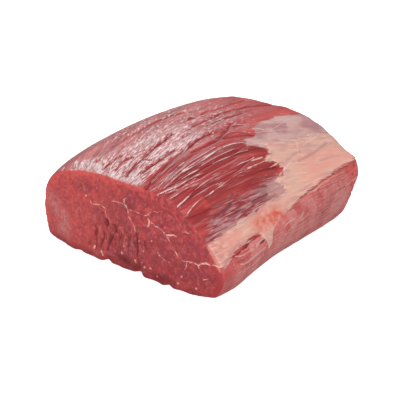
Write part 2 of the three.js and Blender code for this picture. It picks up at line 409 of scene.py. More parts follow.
# Streaks of the material along the fibres: width, length, where in the noise they lie, layers of detail.
STREAKS = {
    "bundles": (4.5, 70, 3.1, 2),
    "pale_bundles": (5.5, 60, 1.1, 2),
    "fibres": (1.6, 30, 7.7, 2),
    "threads": (0.6, 18, 5.4, 2),
    "fine_fibres": (0.6, 22, 5.4, 2),
    "sheen_streaks": (1.5, 24, 2.2, 3),
    "scores": (1.1, 12, 7.1, 3),
    "glints": (0.7, 3.5, 6.2, 3),
    "fine_lines": (1.7, 45, 2.7, 2),
    "line_groups": (6, 40, 4.9, 2),
    "glare_edge": (2.6, 16, 9.9, 2),
    "glare_patches": (5, 16, 3.3, 2),
    "glare_threads": (0.8, 6, 4.4, 3),
    "glare_cracks": (2.2, 15, 8.3, 2),
    "wet_specks": (0.75, 5, 4.4, 3),
    "broken_ridges": (1.2, 9, 3.6, 3),
    "side_films": (0.8, 12, 1.9, 2),
    "side_grooves": (1.6, 25, 6.1, 2),
    "side_flecks": (0.6, 4, 7.3, 3),
    "silver_streaks": (1.4, 16, 8.8, 3),
    "silver_shadows": (2.2, 14, 5.8, 3),
    "cloudy_streaks": (2, 18, 9.3, 3),
    "cloudy_clefts": (1.5, 12, 4.1, 3),
    "cloudy_threads": (0.7, 9, 2.9, 3),
    "thin_fat": (3, 14, 0.9, 3),
    "fat_films": (1.3, 14, 1.3, 3),
    "fat_strands": (1.8, 12, 6.7, 3),
    "fat_veins": (2, 7, 3.9, 3),
    "pale_veins": (1.4, 6, 8.2, 3),
    "frayed_edge": (1, 6, 5.1, 3),
}
# Patches of the material: size, where in the noise they lie, layers of detail, scale of the noise upright.
PATCHES = {
    "clots": (5, 0.7, 3, 1),
    "dark_patches": (15, 0.4, 2, 1),
    "fresh_spots": (4, 0.1, 3, 1),
    "pale_spots": (2.6, 0.3, 2, 1),
    "grains": (2.4, 0.2, 2, 1),
    "pale_specks": (1.3, 0.8, 0, 1),
    "rim_edge": (3.5, 0.7, 3, 1),
    "fat_specks": (1.5, 0.9, 0, 1),
    "broken_seams": (1.6, 0.6, 2, 1),
    "pleats": (1.4, 0, 2, 0.35),
    "ribs": (10, 0, 2, 0.3),
    "side_dents": (2.2, 0.2, 2, 1),
    "bevel_dots": (1.8, 0.5, 2, 1),
    "silver_patches": (17, 0.6, 2, 1),
    "pink_patches": (11, 0.2, 2, 1),
    "fat_patches": (22, 0.3, 2, 1),
    "broken_blush": (3.4, 0.1, 3, 1),
}

# Layers of colour, laid one over another: the colour, then a mask and its strength, or a pattern, the values
# where the layer starts and is full, its strength and the mask that it keeps to.
SKIN_LAYERS = [
    ("muscle_red", "fibres", 0.4, 0.52, 0.8),
    ("rim_red", "pale_bundles", 0.5, 0.62, 0.65),
    # Painted sheen on the dome's left part, which faces the light, with darker scores in it
    ("film_and_sheen_pink", "sheen_streaks", 0.4, 0.62, 0.42, "painted_sheen"),
    ("film_and_sheen_pink", "threads", 0.54, 0.64, 0.1),
    ("deep_red", "threads", 0.45, 0.36, 0.35),
    ("deep_red", "scores", 0.47, 0.38, 0.35, "painted_sheen"),
    ("rim_red", "far_top", 0.35),
]
CUT_LAYERS = [
    ("cut_dark", "dark_patches", 0.46, 0.58, 0.5),
    ("rim_red", "fresh", 0.38),
    ("cut_dark", "bundle", 0.75),
    ("rim_red", "fresh_spots", 0.5, 0.66, 0.45),
    ("film_and_sheen_pink", "pale_spots", 0.5, 0.7, 0.2),
    ("deep_red", "grains", 0.48, 0.33, 0.3),
    ("film_and_sheen_pink", "pale_specks", 0.64, 0.84, 0.2),
    # Painted highlights on the crests of the crumpled part and painted shade in its valleys
    ("film_and_sheen_pink", "pleats", 0.52, 0.64, 0.5, "crumple"),
    ("deep_red", "pleats", 0.46, 0.36, 0.6, "crumple"),
]
FOOT_LAYERS = [
    ("muscle_red", "right_rim", 0.8),
    ("rim_red", "red_line", 0.6),
    ("deep_red", "low_shade", 0.95),
    # Painted shade in the torn folds; the far foot's creases are darkened with them
    ("deep_red", "torn", 0.8),
    ("seam_fat", "fat_specks", 0.82, 0.88, 0.5),
    ("seam_fat", "fleck", -0.25, 0.25, 0.85),
    ("fat_salmon", "cut_fat", 0.6),
]
SIDE_LAYERS = [
    ("film_and_sheen_pink", "ribs", 0.46, 0.34, 0.4),
    ("film_and_sheen_pink", "side_films", 0.5, 0.62, 0.35),
    ("deep_red", "side_grooves", 0.44, 0.34, 0.35),
    ("deep_red", "side_dents", 0.43, 0.34, 0.25),
    ("film_and_sheen_pink", "curtain", 0.35),
    ("fat_pale", "side_flecks", 0.6, 0.68, 0.45),
    ("rim_red", "bevel", 0.75),
    ("film_and_sheen_pink", "bevel_dots", 0.5, 0.62, 0.4, "bevel"),
    ("deep_red", "pits", 0.6),
    ("cut_red", "near_end", 0.6),
    # Pale seams, some of them painted glints
    ("silver_pale", "side_seam_and_glint_line", 0.8),
    ("fat_salmon", "flap", -0.3, 0.4, 0.75),
    # Painted shade in the hollows below the lip and under the flap
    ("deep_red", "pocket_shade", 0.25, 0.5, 0.95),
]
SILVERSKIN_LAYERS = [
    ("film_and_sheen_pink", "pink_patches", 0.48, 0.62, 0.35),
    ("silver_pale", "silver_streaks", 0.5, 0.64, 0.5),
    ("cut_dark", "silver_shadows", 0.44, 0.3, 0.35),
    ("membrane_and_highlight_white", "wisp_line", 0.3),
    # The silverskin's creases are darker, partly their own colour and partly painted shade
    ("cut_dark", "crease", 0.35),
]
CLOUDY_LAYERS = [
    ("cleft_plum", "cloudy_clefts", 0.45, 0.36, 0.6),
    ("silver_pale", "cloudy_threads", 0.54, 0.62, 0.65),
    ("silver_pale", "pale_end", 0.65),
    ("cleft_plum", "cleft", 0.9),
    # Painted glints in the cloudy band
    ("membrane_and_highlight_white", "soft_glint_line", 0.7),
]
FAT_LAYERS = [
    ("silver_pale", "fat_films", 0.46, 0.34, 0.5),
    ("fat_pale", "fat_strands", 0.52, 0.68, 0.45),
    ("fat_pale", "fat", 2.2, 0.2, 0.3),
    ("side_pink", "near_end", 0.38),
    ("silver_mauve", "fat_veins", 0.48, 0.6, 0.5, "near_end"),
    ("fat_pale", "pale_veins", 0.48, 0.38, 0.5, "near_end"),
]
# Lines kept on the surface, by the names that the layers use: the line, and how soft its edge is.
LINES = {
    "seam_line": ("seam", 0.28),
    "red_line": ("red", 0.3),
    "side_seam_and_glint_line": ("side", 0.2),
    "wisp_line": ("wisp", 0.3),
    "fat_wisp_line": ("wisp", 0.25),
    "ridge_glint_line": ("ridge", 0.16),
    "soft_glint_line": ("ridge", 0.2),
    "shred_line": ("shred", 0.2),
}


def linear_colour(code):
    """A linear colour from a screen colour such as 0xB4474A."""
    channels = [(code >> shift & 255) / 255 for shift in (16, 8, 0)]
    return tuple(c / 12.92 if c <= 0.04045 else ((c + 0.055) / 1.055) ** 2.4 for c in channels)


def colour_property(name, description, code):
    return FloatVectorProperty(
        name=name, description=description, subtype="COLOR", size=3, min=0, max=1, default=linear_colour(code)
    )


class BeefSizes(bpy.types.PropertyGroup):
    """Sizes of the block's surface detail."""

    voxel: FloatProperty(
        name="Surface grid", description="Edge of the surface's faces", default=0.82 * MM, unit="LENGTH"
    )
    groove_depth: FloatProperty(
        name="Groove depth", description="Depth of the main furrows", default=0.8 * MM, unit="LENGTH"
    )
    groove_spacing: FloatProperty(
        name="Groove spacing", description="Distance between deep grooves", default=6.5 * MM, unit="LENGTH"
    )
    fat_thickness: FloatProperty(
        name="Fat thickness", description="Step from muscle up to fat", default=0.8 * MM, unit="LENGTH"
    )
    seed: IntProperty(name="Seed", description="Changes the pattern of the fibres", default=5, min=0)


class BeefColours(bpy.types.PropertyGroup):
    """Colours of the meat, the fat and the membranes."""

    # Deep red is also the painted shade at the near cut's foot, in its folds and crumples, in the hollows
    # below the lip and on the ridges' low side
    deep_red: colour_property("Deep red", "Bottom of the grooves", 0x7A2428)
    muscle_red: colour_property("Muscle red", "Skin side of the muscle", 0xAC3A3C)
    # Also the colour of the painted sheen on the dome, the painted highlights on the cut's crumples and its
    # painted glare
    film_and_sheen_pink: colour_property("Film pink", "Thin wet membrane over the muscle", 0xC98A88)
    cut_red: colour_property("Cut red", "Muscle cut across the grain", 0xB44144)
    cut_dark: colour_property("Cut dark", "Darker bundles in the cut", 0x983A41)
    rim_red: colour_property("Rim red", "Fresh edge of the cut", 0xD25752)
    side_pink: colour_property("Side pink", "Muscle trimmed along the grain", 0xD27570)
    fat_cream: colour_property("Fat cream", "Thick part of the fat sheet", 0xDEB09E)
    fat_salmon: colour_property("Fat salmon", "Thin part of the fat sheet", 0xE4A090)
    fat_blush: colour_property("Fat blush", "Red patch in the fat", 0xD65C4E)
    silver_mauve: colour_property("Silverskin mauve", "Silverskin over the muscle", 0xB48486)
    silver_pale: colour_property("Silverskin pale", "Thick streaks of the silverskin", 0xD2A8A2)
    seam_fat: colour_property("Seam fat", "Marbling in the cut", 0xE6B0A4)
    # Also the colour of the painted glare and glints, as well as of the pale wisps
    membrane_and_highlight_white: colour_property("Film white", "Wet membrane where it is thickest", 0xF0DCDC)
    fat_pale: colour_property("Fat pale", "Wisps on the fat sheet", 0xE8C8B8)
    cleft_plum: colour_property("Cleft plum", "Clefts beside the fat", 0x6E3239)


def smooth_step(low, high, value):
    share = np.clip((value - low) / (high - low), 0, 1)
    return share * share * (3 - 2 * share)


def bell(*parts):
    """A bell over one or more directions, each given as a value, the bell's middle and its reach."""
    return np.exp(-sum(((value - middle) / reach) ** 2 for value, middle, reach in parts))


def noise(*coords, seed=0):
    """Smooth noise between -1 and 1 at coordinates counted in cells of one."""
    cells = [np.floor(c).astype(np.int64) for c in coords]
    shares = [c - cell for c, cell in zip(coords, cells)]
    total = np.zeros(cells[0].shape)
    for corner in itertools.product((0, 1), repeat=len(coords)):
        # The large numbers only scramble each corner's place into one that looks random
        mixed = np.full(cells[0].shape, seed * 362437 + 521288629, np.int64)
        weight = np.ones(cells[0].shape)
        for cell, share, step in zip(cells, shares, corner):
            mixed = (mixed * 1103515245 + (cell + step) * 374761393 + 12345) & 0xFFFFFFFF
            mixed ^= mixed >> 15
            ease = share * share * (3 - 2 * share)
            weight = weight * (ease if step else 1 - ease)
        mixed = (mixed * 668265263) & 0xFFFFFFFF
        mixed ^= mixed >> 13
        total += weight * ((mixed & 0xFFFF) / 32767.5 - 1)
    return total


def layered_noise(*coords, seed=0, layers=3):
    total, weight = 0, 1
    for layer in range(layers):
        total = total + weight * noise(*(c * 2**layer for c in coords), seed=seed + 31 * layer)
        weight *= 0.5
    return total


def valleys(across, along, width, length, narrow, seed):
    """Lines that run along the grain and wander across it: 1 in a line, 0 away from it."""
    return bell((noise(across / width, along / length, seed=seed), 0, narrow))


def unrolled(x, z):
    """Distance round the block's section, from the middle of the top towards +X."""
    return 60 * np.arctan2(x, z - 20)


def grain_of(x, y, z):
    """Place across and along the muscle fibres, which fan out and lean towards the far right corner."""
    bend = 9 * smooth_step(-15, 85, y) * (1 + 0.9 * smooth_step(-20, 35, x))
    fan = 0.0035 * (x - 12) * (y + 80)
    on_top = smooth_step(30, 55, z)
    return unrolled(x - (bend + fan) * on_top, z), y


def outline_distance(across, along, outline):
    """Distance inside a closed outline on the skin: positive inside, negative outside."""
    corners = [(unrolled(x, z), y) for x, y, z in outline]
    nearest = np.full(across.shape, np.inf)
    inside = np.zeros(across.shape, bool)
    for (ax, ay), (bx, by) in zip(corners, corners[1:] + corners[:1]):
        ex, ey = bx - ax, by - ay
        px, py = across - ax, along - ay
        share = np.clip((px * ex + py * ey) / (ex * ex + ey * ey), 0, 1)
        nearest = np.minimum(nearest, np.hypot(px - share * ex, py - share * ey))
        if by != ay:
            inside ^= ((ay > along) != (by > along)) & (px < (along - ay) * ex / ey)
    return np.where(inside, nearest, -nearest)


def rounded_path(points):
    """The points of a line with its corners cut off twice over, so that it bends softly."""
    for _ in range(2):
        inner = []
        for (ax, ay), (bx, by) in zip(points, points[1:]):
            inner.append((0.75 * ax + 0.25 * bx, 0.75 * ay + 0.25 * by))
            inner.append((0.25 * ax + 0.75 * bx, 0.25 * ay + 0.75 * by))
        points = [points[0], *inner[1:-1], points[-1]]
    return points


def line_distance(across, along, lines):
    """Signed distance to the nearest line, and the line's own number.

    The number falls off past the line's end and midway to another line.
    """
    far, none = 50.0, -5.0
    offset = np.full(across.shape, far)
    second = np.full(across.shape, far)
    number = np.full(across.shape, none)
    for value, points in lines:
        points = rounded_path(points)
        here = np.full(across.shape, far + 10)
        here_number = np.full(across.shape, none)
        for (ax, ay), (bx, by) in zip(points, points[1:]):
            length = math.hypot(bx - ax, by - ay)
            ex, ey = (bx - ax) / length, (by - ay) / length
            run = (across - ax) * ex + (along - ay) * ey
            past = np.clip(np.maximum(-run, run - length), 0, None)
            side = (across - ax) * ey - (along - ay) * ex
            reach = np.hypot(side, past)
            closer = reach < np.abs(here)
            here = np.where(closer, np.where(side < 0, -reach, reach), here)
            here_number = np.where(closer, value - 0.8 * past, here_number)
        closer = np.abs(here) < np.abs(offset)
        second = np.where(closer, np.abs(offset), np.minimum(second, np.abs(here)))
        offset = np.where(closer, here, offset)
        number = np.where(closer, here_number, number)
    between = smooth_step(0.9, 0.2, second - np.abs(offset)) * smooth_step(0.25, 0.5, np.abs(offset))
    return offset, number - 1.5 * between


def furrow_along(across, along, lines, half_width):
    """Depth of the furrows pressed along some lines."""
    offset, depth = line_distance(across, along, lines)
    return np.clip(depth, 0, None) * bell((offset, 0, half_width))


def add_modifier(piece, kind, **settings):
    """Adds a modifier, sets it up and applies it."""
    modifier = piece.modifiers.new(kind.title(), kind)
    for name, value in settings.items():
        setattr(modifier, name, value)
    bpy.context.view_layer.objects.active = piece
    bpy.ops.object.modifier_apply(modifier=modifier.name)


def store(piece, name, values):
    """Keeps a number or a vector for each vertex, for the material to read."""
    vector = values.ndim == 2
    attribute = piece.data.attributes.new(name, "FLOAT_VECTOR" if vector else "FLOAT", "POINT")
    attribute.data.foreach_set("vector" if vector else "value", values.astype(np.float32).ravel())


def vertex_array(mesh, what):
    values = np.zeros(len(mesh.vertices) * 3, np.float32)
    mesh.vertices.foreach_get(what, values)
    return values.reshape(-1, 3).astype(float)


def copy_of_block():
    """A merged copy of the solid with four-sided faces and creased sharp edges."""
    bpy.ops.object.select_all(action="DESELECT")
    piece = CAD_BLOCK.copy()
    piece.data = CAD_BLOCK.data.copy()
    piece.name = piece.data.name = "beef_block"
    piece.parent = None
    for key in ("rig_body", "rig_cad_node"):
        if key in piece:
            del piece[key]
    bpy.context.scene.collection.objects.link(piece)
    piece.select_set(True)
    bpy.context.view_layer.objects.active = piece
    bpy.ops.object.mode_set(mode="EDIT")
    bpy.ops.mesh.select_all(action="SELECT")
    bpy.ops.mesh.remove_doubles(threshold=0.01 * MM)
    bpy.ops.mesh.tris_convert_to_quads(face_threshold=math.radians(60), shape_threshold=math.radians(60))
    bpy.ops.mesh.select_mode(type="EDGE")
    bpy.ops.mesh.select_all(action="DESELECT")
    bpy.ops.mesh.edges_select_sharp(sharpness=math.radians(50))
    bpy.ops.transform.edge_crease(value=0.75)
    bpy.ops.object.mode_set(mode="OBJECT")
    return piece


class BlockSurface:
    """The points of the block's surface in millimetres, their relief, and the masks for the material."""

    def __init__(self, mesh, sizes):
        self.place = vertex_array(mesh, "co") / MM
        self.normal = vertex_array(mesh, "normal")
        self.x, self.y, self.z = self.place.T
        self.sizes = sizes
        self.near = self.y < 0
        self.across, self.along = grain_of(self.x, self.y, self.z)
        self.skin_across = unrolled(self.x, self.z)
        self.below_lip = np.interp(self.y, *zip(*LIP)) - self.z
        self.cut = smooth_step(0.55, 0.8, np.abs(self.normal[:, 1]))
        self.side = self.zone("side_wall") * smooth_step(0, 1.2, self.below_lip) * (1 - self.cut)
        self.top = self.zone("top")
        self.sway = self.wave("line_sway", self.x, self.y)
        self.masks = {"cut": self.cut, "side": self.side}

    def zone(self, name):
        """How far each point lies in a part of the surface: 0 outside it, 1 well inside."""
        return math.prod(smooth_step(start, full, getattr(self, way)) for way, start, full in ZONES[name])

    def wave(self, name, first, second):
        height, width, length, number = WAVES[name]
        return height * noise(first / width, second / length, seed=self.sizes.seed + number)

    def layered(self, *coords, number, layers=3):
        return layered_noise(*coords, seed=self.sizes.seed + number, layers=layers)

    def keep_line(self, name, offset, width, away=0):
        """Keeps a line as the distance to it and its half width, which is below nothing away from it."""
        self.masks[name + "_offset"] = np.clip(offset, -3, 3)
        self.masks[name + "_width"] = np.clip(width, -1, 1) - 2 * away

    def lay_covers(self):
        """The fat sheet, the silverskin and the cloudy band, each as a distance in from its uneven edge."""
        y, skin_across = self.y, self.skin_across
        ragged = self.wave("ragged_edge", skin_across, y) + self.wave("torn_edge", skin_across, y)
        wispy = 2.2 * (np.abs(self.wave("wispy_edge", self.across, self.along)) - 0.3)
        near_part = self.zone("near_part")
        fat = outline_distance(skin_across, y, FAT_OUTLINE)
        uneven = smooth_step(8, 4, np.abs(fat)) * (1 - 0.9 * self.zone("shoulder"))
        fat = fat + (ragged + wispy * near_part) * uneven
        silver = outline_distance(skin_across, y, SILVERSKIN_OUTLINE)
        silver = silver + 0.8 * ragged + 0.8 * wispy * self.zone("before_far_end")
        blend = smooth_step(-1, 4, silver) * self.zone("silver_to_fat")
        fat = (fat + 3 * self.layered(skin_across / 9, y / 11, number=25) * blend) / (1 + 2.2 * blend)
        cloudy = outline_distance(skin_across, y, CLOUDY_OUTLINE) + 1.6 * wispy
        self.fat = fat
        self.fat_cover = smooth_step(-0.3, 1.1, fat - near_part * (1 - self.side)) * (1 - self.cut)
        self.cover = np.maximum(self.fat_cover, smooth_step(-0.5, 2.0, silver) * (1 - self.cut))
        for name, inside in {"fat": fat, "silver": silver, "cloudy": cloudy}.items():
            self.masks[name] = np.clip(inside, -12, 12)

    def skin_relief(self):
        """Bundles with sharp furrows between them, finer furrows on each, and the covers over both."""
        x, y, top, cover, sizes = self.x, self.y, self.top, self.cover, self.sizes
        swayed = self.across + self.wave("fibre_sway", self.across, self.along)
        spacing = sizes.groove_spacing / MM
        bundles = np.sqrt(np.abs(noise(swayed / spacing, self.along / 120, seed=sizes.seed + 5)))
        strands = np.sqrt(np.abs(self.wave("strands", swayed, self.along)))
        groove_offset, groove_depth = line_distance(x + self.sway, y, GROOVES)
        press = np.clip(groove_depth, 0, None) * bell((groove_offset, 0, 1.1)) * top
        cleft = furrow_along(x + self.sway, y, CLEFTS, 1.2) * top
        crease = furrow_along(x, y, CREASES, 0.9) * top
        ridge_offset, ridge_width = line_distance(x + 0.15 * self.sway, y, RIDGES)
        ridge_width = 0.68 * ridge_width + self.wave("ridge_width", x, y)
        ridge = smooth_step(-0.2, 0.3, ridge_width) * bell((ridge_offset, 0, 0.9)) * top
        glare = outline_distance(self.skin_across, y, GLARE_OUTLINE)
        rough = smooth_step(-3, 3, glare + self.wave("wet_edge", self.across, self.along)) * self.zone("dome")
        crinkle = self.layered(self.across / 2.6, self.along / 7, number=8, layers=2)
        calm = 1 - 0.6 * self.zone("left_edge")
        furrows = (1 - bundles) * sizes.groove_depth / MM + 0.4 * (1 - strands) * calm
        furrows *= 1 - 0.45 * self.zone("far_half")
        relief = 0.4 - furrows * calm - press + 0.45 * ridge + 0.16 * crinkle * rough
        relief *= 1 - 0.9 * cover
        folds = self.wave("cover_folds", self.skin_across, y)
        folds += self.wave("cover_wrinkles", self.skin_across, y)
        relief += (folds - crease) * cover + sizes.fat_thickness / MM * self.fat_cover - 0.6 * cleft

        # The dome's left part, which faces the light, takes a painted sheen, and a strip by its near edge a
        # painted glare
        dome = smooth_step(14, -8, x - 0.08 * y) * smooth_step(74, 30, y)
        creased = 1.6 * (0.42 - bundles) + 0.9 * press + 0.5 * (0.4 - strands)
        dapple = 0.55 + 0.65 * self.zone("dappled_left") + 0.4 * self.zone("dappled_far")
        self.masks |= {
            "rough": rough * (1 - cover),
            "glare": np.clip(glare, -12, 12) - 12 * cover,
            "painted_sheen": dome * (1 - cover),
            "furrow": np.clip(creased, 0, 1) * top * (1 - 0.4 * self.zone("far_half")),
            "cleft": np.clip(cleft, 0, 1),
            "crease": np.clip(crease * 2, 0, 1),
            "ridge_zone": self.zone("ridged"),
            "dapple": self.zone("dappled") * dapple,
            "painted_front_glare": self.zone("front_glare_zone") * top,
            "strip": furrow_along(x, y, STRIPS, 5.5) * top,
            "upper": self.zone("upper_dome"),
            "far_top": self.zone("far_top") * top * (1 - 0.6 * dome),
        }
        groove_width = 0.26 * groove_depth + self.wave("groove_width", x, y)
        wisp_offset, wisp_width = line_distance(x + self.sway, y, WISPS)
        shred_offset, shred_width = line_distance(x + self.sway, y, SHREDS)
        self.keep_line("groove", groove_offset, groove_width, 1 - top + cover)
        self.keep_line("ridge", ridge_offset, ridge_width, 1 - top)
        self.keep_line("wisp", wisp_offset, wisp_width, 1 - top)
        self.keep_line("shred", shred_offset, shred_width + self.wave("shred_width", x, y), 1 - top)
        return relief

    def side_relief(self):
        """The trimmed side: a hanging flap, hollows below the fat's lip, and soft swells."""
        x, y, z = self.place.T
        under_lip = bell((self.below_lip, 0.9, 0.9)) * self.side * (1 - self.fat_cover)
        flap = z - np.interp(y, *zip(*FLAP)) + self.wave("flap_edge", y, z)
        flap = np.where((y > 21) & (y < 65) & (x > 66), flap, -3) - 3 * smooth_step(-0.4, 0.8, self.fat)
        relief = self.wave("side_swell", y, z) + self.wave("side_fibres", z, y)
        pocket_shade = np.zeros(x.shape)
        for pocket_y, pocket_z, half_length, half_height, depth in SHADED_POCKETS:
            up = z - pocket_z - 0.1 * (y - pocket_y)
            reach = ((y - pocket_y) / half_length) ** 2 + (up / half_height) ** 2
            hollow = np.exp(-np.clip(reach + self.wave("pocket_edge", y, z), 0, None))
            pocket_shade = np.maximum(pocket_shade, hollow * (x > 60))
            relief -= depth * hollow
        bevel = smooth_step(62, 69, y + 0.1 * (z - 44)) * self.zone("bevel")
        pits = bevel * smooth_step(0.45, 0.7, self.wave("bevel_pits", y, z))
        relief += 0.5 * smooth_step(-0.5, 0.5, flap) - 0.7 * pits - 0.15 * under_lip
        seam_offset, seam_width = line_distance(y, z, SIDE_SEAMS_AND_GLINTS)
        self.keep_line("side", seam_offset, seam_width + self.wave("side_seam_width", y, z))
        curtain = furrow_along(y + self.wave("curtain_sway", y, z), z, CURTAINS, 1.6)
        self.masks |= {
            "curtain": np.clip(curtain, 0, 1),
            "flap": np.clip(flap, -3, 3),
            "pocket_shade": pocket_shade,
            "bevel": bevel,
            "pits": pits,
        }
        return relief + 0.7 * self.sizes.fat_thickness / MM * self.fat_cover

    def cut_relief(self):
        """The cut ends: seams of fat, soft lumps, torn folds in the near face and creases at the far foot."""
        x, y, z = self.place.T
        near, seed = self.near, self.sizes.seed
        seam_x, seam_z = x + self.wave("seam_sway", x, z), z + self.wave("seam_lift", x, z)
        both = zip(line_distance(seam_x, seam_z, NEAR_SEAMS), line_distance(seam_x, seam_z, FAR_SEAMS))
        seam_offset, seam_width = (np.where(near, *pair) for pair in both)
        seam_width = 0.75 * seam_width - 0.08 + self.wave("seam_width", x, z)
        lumps = 0.35 * self.layered(x / 6, z / 6, y / 40, number=13)
        fold_x = x + self.wave("fold_sway", x, z)
        torn_zone = bell((x, -10, 20), (z, 24, 13)) * near
        torn = furrow_along(fold_x, z, FOLDS, 0.95) * near
        torn = torn + 0.5 * valleys(fold_x, z, 2.6, 7, 0.3, seed + 15) * torn_zone
        for spot_x, spot_z, radius in TORN_SPOTS:
            torn = torn + 1.1 * bell((np.hypot(fold_x - spot_x, 0.6 * (z - spot_z)), 0, radius)) * near
        creases = valleys(fold_x + 0.2 * z, z, 11, 40, 0.13, seed + 16) * self.zone("far_foot") * ~near

        red_offset, red_width = line_distance(x + self.sway, z, RED_LINES)
        self.keep_line("seam", seam_offset, seam_width)
        self.keep_line("red", red_offset, red_width, 1 - near)
        fleck = np.full(x.shape, -3.0)
        for fleck_x, fleck_z, radius in FLECKS:
            reach = np.hypot(seam_x - fleck_x, 0.8 * (seam_z - fleck_z))
            fleck = np.maximum(fleck, np.where(near, radius - reach, -3))
        self.masks |= {
            "fleck": fleck,
            "torn": np.clip(torn + 0.7 * creases, 0, 1) * self.cut,
            "crumple": torn_zone * self.cut,
        }
        return lumps - torn - 1.2 * creases - 0.15 * smooth_step(-0.3, 0.4, seam_width - np.abs(seam_offset))

    def moved(self):
        """Where the relief and the pushes take each point."""
        relief = self.skin_relief() * (1 - self.side) + self.side_relief() * self.side
        relief = relief * (1 - self.cut) + self.cut_relief() * self.cut
        under = smooth_step(0.4, 0.8, -self.normal[:, 2]) * (1 - smooth_step(3, 9, self.z))
        moved = self.place + self.normal * (relief * (1 - under))[:, None]
        for middle, reach, move in PUSHES:
            share = np.exp(-(((self.place - middle) / reach) ** 2).sum(1))
            moved += share[:, None] * move
        moved[:, 1] = np.clip(moved[:, 1], self.y.min() - 0.6, self.y.max() + 0.6)
        moved[:, 2] = np.clip(moved[:, 2], 0, None)
        return moved

    def shade_cut(self):
        """Masks for the near cut's rim, its darker bundles, the painted shade at its foot and lower right,
        and its film with painted glare.
        """
        x, z, cut, near = self.x, self.z, self.cut, self.near
        rim = cut_rim(self.place, cut)
        right_rim = self.zone("right_rim")
        # The bright rim is left off the foot, where painted shade lies instead
        rim_reach = rim + 8 * self.zone("near_foot") * (1 - right_rim)
        rim_reach = rim_reach + (4.5 * self.zone("wide_rim") - self.zone("thin_rim")) * near
        bundle = np.zeros(x.shape)
        for bundles, here in ((NEAR_BUNDLES, near), (FAR_BUNDLES, ~near)):
            for across, up, half_width, half_height in bundles:
                reach = np.hypot((x - across) / half_width, (z - up) / half_height)
                bundle = np.where(here, np.maximum(bundle, 1 - smooth_step(0.55, 1.15, reach)), bundle)
        # Painted shade: darker towards the foot and over the lower right part, darkest on the foot's lobes
        low_shade = smooth_step(9, 1, z + self.wave("foot_edge", x, z)) * (1 - right_rim)
        low_shade = 0.7 * np.maximum(low_shade, 0.4 * self.zone("shaded_right"))
        for lobe_x, lobe_z, half_width, half_height in FOOT_LOBE_SHADE:
            low_shade = np.maximum(low_shade, bell((x, lobe_x, half_width), (z, lobe_z, half_height)))
        film_offset, _ = line_distance(x, z, FACE_FILM_GLARE)
        self.masks |= {
            "rim": rim_reach,
            "bundle": bundle * cut,
            "low_shade": low_shade * near,
            "fresh": self.zone("fresh_left") * near,
            "face_film_glare": bell((film_offset, 0, 6)) * near,
            "right_rim": self.zone("right_edge") * smooth_step(7, 3, rim) * near,
            "cut_fat": self.zone("fat_in_cut") * (1 - smooth_step(1.2, 2.6, rim)) * near * cut,
        }

    def shade_fat(self):
        """Masks for the fat's red patches, its warm far part and its clean lip."""
        to_lip = self.skin_across - unrolled(72, 38)
        blush = sum(
            strength * bell((self.y, middle, half_length), (to_lip, across, half_width))
            for strength, middle, half_length, across, half_width in BLUSHES
        )
        warm_rise = smooth_step(unrolled(58, 58), unrolled(66, 52), self.skin_across)
        self.masks |= {
            "blush": np.clip(blush, 0, 1),
            "warm": warm_rise * self.zone("warm_fat"),
            "lip": self.zone("clean_lip") * self.top,
            "near_end": self.zone("near_end"),
            "pale_end": self.zone("pale_end"),
        }


def shape_meat(piece, sizes):
    """Presses the grooves, folds and seams into the copy and keeps the masks for its material."""
    surface = BlockSurface(piece.data, sizes)
    surface.lay_covers()
    moved = surface.moved()
    surface.shade_cut()
    surface.shade_fat()
    piece.data.vertices.foreach_set("co", (moved * MM).astype(np.float32).ravel())
    piece.data.update()
    store(piece, "grain", np.stack([surface.across, surface.along, surface.z * 0.3], 1))
    for name, values in surface.masks.items():
        store(piece, name, values)


def cut_rim(place, cut):
    """Distance in from the edge of a cut face, up to a limit."""
    limit, edge, near_ends = 9.0, 0.3, 62
    outer = place[(cut < edge) & (np.abs(place[:, 1]) > near_ends)]
    tree = KDTree(len(outer))
    for index, point in enumerate(outer):
        tree.insert(point, index)
    tree.balance()
    rim = np.zeros(len(place))
    for index in np.flatnonzero(cut >= edge):
        rim[index] = min(tree.find(place[index])[2], limit)
    return rim


def thin_faces(piece, most):
    """Takes faces out until no more than a number of triangles are left, first of all from the underside."""
    mesh = piece.data
    height = vertex_array(mesh, "co")[:, 2] / MM
    group = piece.vertex_groups.new(name="plain_places")
    group.add([int(i) for i in np.flatnonzero(height < FLAT_GROUND)], 1.0, "REPLACE")
    group.add([int(i) for i in np.flatnonzero(height >= FLAT_GROUND)], 0.1, "REPLACE")
    triangles = sum(len(face.vertices) - 2 for face in mesh.polygons)
    add_modifier(piece, "DECIMATE", ratio=min(1.0, most / triangles), vertex_group=group.name)
    piece.vertex_groups.clear()


class Painter:
    """Adds nodes to one shader tree and joins them."""

    def __init__(self, tree):
        self.tree = tree

    def node(self, kind, sockets=None, **settings):
        node = self.tree.nodes.new(kind)
        for name, value in settings.items():
            setattr(node, name, value)
        for name, value in (sockets or {}).items():
            self.feed(node.inputs[name], value)
        return node

    def feed(self, socket, value):
        if isinstance(value, bpy.types.NodeSocket):
            self.tree.links.new(value, socket)
        else:
            socket.default_value = value

    def math(self, operation, a, b=0.0, clamp=False):
        node = self.node("ShaderNodeMath", {0: a, 1: b}, operation=operation, use_clamp=clamp)
        return node.outputs[0]

    def ramp(self, value, low, high, start=0.0, end=1.0):
        """Goes smoothly from start to end as the value goes from low to high."""
        sockets = {"Value": value, "From Min": low, "From Max": high, "To Min": start, "To Max": end}
        return self.node("ShaderNodeMapRange", sockets, interpolation_type="SMOOTHSTEP").outputs["Result"]

    def mix(self, share, a, b):
        node = self.node("ShaderNodeMix", data_type="RGBA", clamp_factor=True)
        for index, value in ((0, share), (6, a), (7, b)):
            if isinstance(value, tuple) and len(value) == 3:
                value = (*value, 1.0)
            self.feed(node.inputs[index], value)
        return node.outputs[2]

    def mask(self, name):
        return self.node("ShaderNodeAttribute", attribute_name=name).outputs["Fac"]


